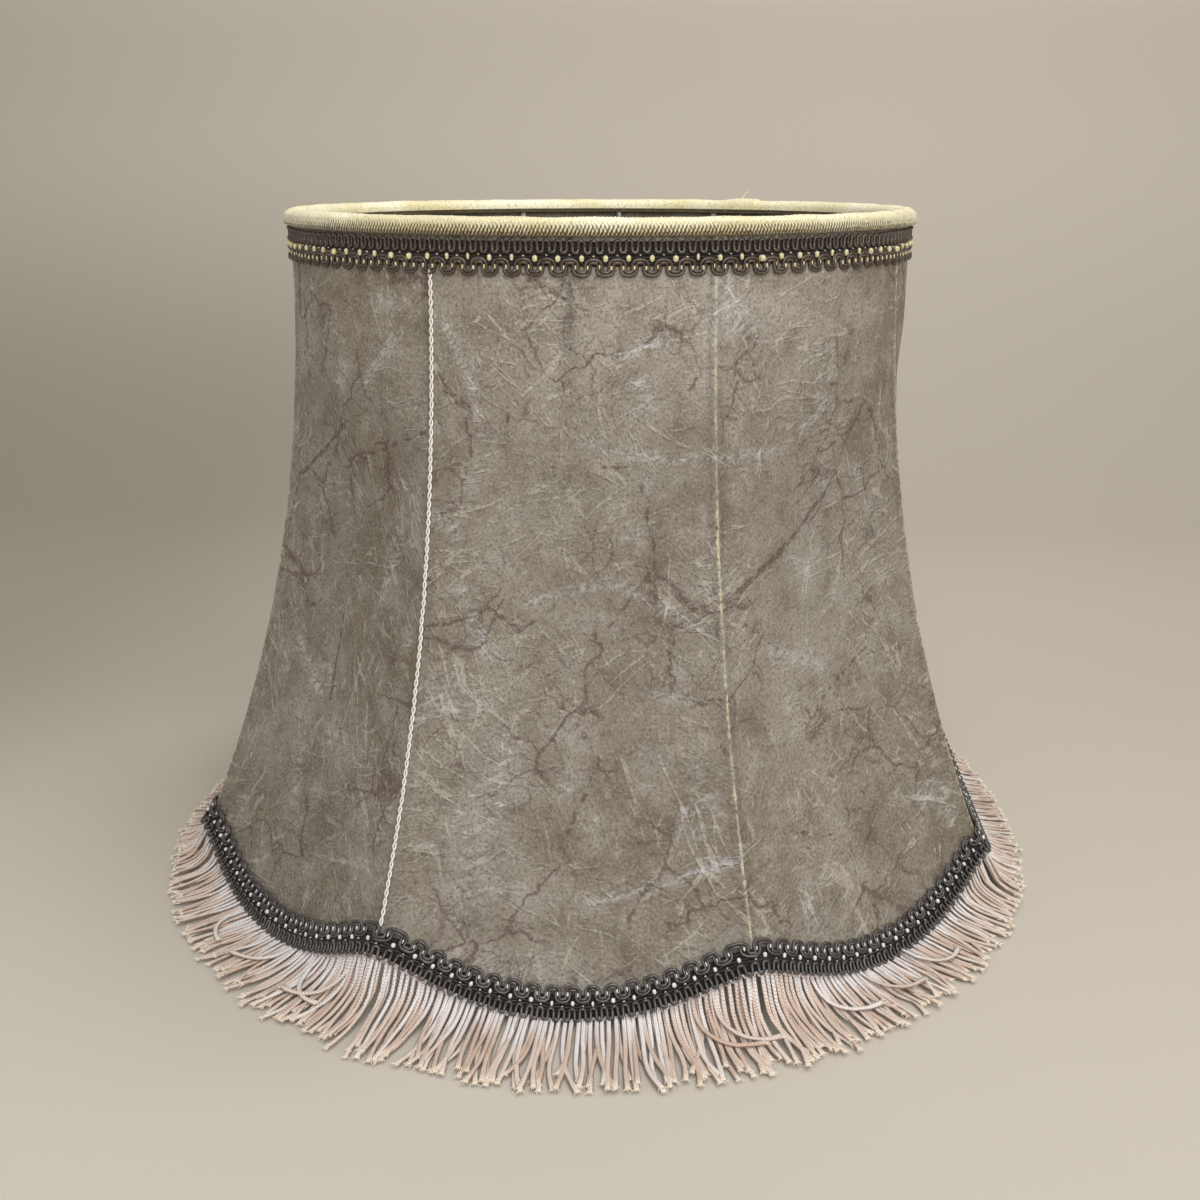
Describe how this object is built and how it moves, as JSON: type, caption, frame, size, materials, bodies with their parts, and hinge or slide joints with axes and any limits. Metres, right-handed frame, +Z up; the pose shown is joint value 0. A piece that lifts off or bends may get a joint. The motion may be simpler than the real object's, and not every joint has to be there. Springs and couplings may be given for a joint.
{
  "type": "lamp shade",
  "caption": "Bell-shaped lamp shade with flat stretched panels, scalloped hem, gimp braid, padded top roll and a long strand fringe; hangs by a recessed ring fitter.",
  "frame": {"origin": "on the floor, under the middle of the shade, which stands on its fringe", "axes": "+Z up the shade's own axis, X and Y along the fitter's arms; the sewn front seam is towards -X -Y"},
  "size_m": [0.4782, 0.4782, 0.3208],
  "materials": {
    "frame_wire": "cream lacquer, aged",
    "fitter_steel": "zinc-plated, dulled",
    "parchment": "taupe parchment, mottled, satin",
    "seam_thread": "twisted cream thread",
    "binding_tape": "ribbed cream and gold rayon tape",
    "gimp_braid": "dark brown rayon cords on a cream ground",
    "fringe_heading": "woven pale pink tape",
    "fringe_strands": "pale pink chainette strands, stained"
  },
  "bodies": {
    "root": {"bottom_braid": "gimp_braid", "fitter_arm_1": "fitter_steel", "fitter_arm_2": "fitter_steel", "fitter_arm_3": "fitter_steel", "fitter_arm_4": "fitter_steel", "fitter_ring": "fitter_steel", "fringe": "fringe_strands", "fringe_heading": "fringe_heading", "hem_arc_1": "frame_wire", "hem_arc_2": "frame_wire", "hem_arc_3": "frame_wire", "hem_arc_4": "frame_wire", "hem_arc_5": "frame_wire", "hem_arc_6": "frame_wire", "hem_arc_7": "frame_wire", "hem_arc_8": "frame_wire", "rib_1": "frame_wire", "rib_2": "frame_wire", "rib_3": "frame_wire", "rib_4": "frame_wire", "rib_5": "frame_wire", "rib_6": "frame_wire", "rib_7": "frame_wire", "rib_8": "frame_wire", "seam_thread_back": "seam_thread", "seam_thread_front": "seam_thread", "skin_left": "parchment", "skin_right": "parchment", "top_binding": "binding_tape", "top_braid": "gimp_braid", "top_ring": "frame_wire"}
  },
  "joints": []
}
